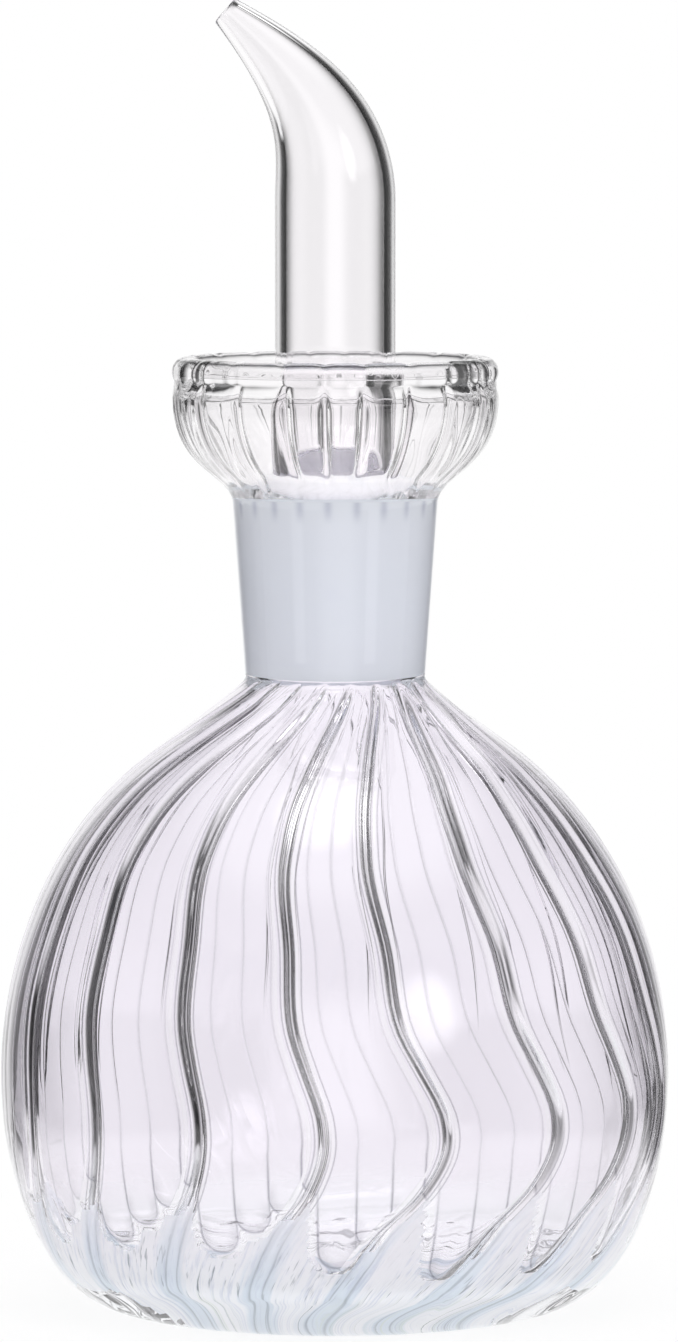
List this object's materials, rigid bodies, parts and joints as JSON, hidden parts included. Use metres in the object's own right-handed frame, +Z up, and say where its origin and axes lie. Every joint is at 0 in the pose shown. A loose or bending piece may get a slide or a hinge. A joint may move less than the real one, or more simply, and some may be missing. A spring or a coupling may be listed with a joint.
{
  "type": "oil dispenser bottle",
  "caption": "Clear glass oil cruet: round ribbed flask, ground neck with a flared drip cup, and a hollow ground stopper drawn out into a bent pouring spout.",
  "frame": {"origin": "centre of the foot, on the surface that the bottle stands on", "axes": "+Z up along the neck's axis, -X the way the spout points, -Y towards a viewer who sees the spout point left"},
  "size_m": [0.0898, 0.0902, 0.1749],
  "materials": {
    "clear_glass": "clear borosilicate glass, flame-polished",
    "ground_glass": "clear borosilicate glass with its joint face ground to a fine frost"
  },
  "bodies": {
    "bottle": {"flask_body": "clear_glass", "neck_socket": "ground_glass", "drip_cup": "clear_glass"},
    "stopper": {"stopper_cone": "ground_glass", "pouring_spout": "clear_glass"}
  },
  "joints": [
    {"name": "stopper_lift", "type": "slide", "parent": "bottle", "child": "stopper", "axis": [0, 0, 1], "range_m": [0, 0.06]}
  ]
}
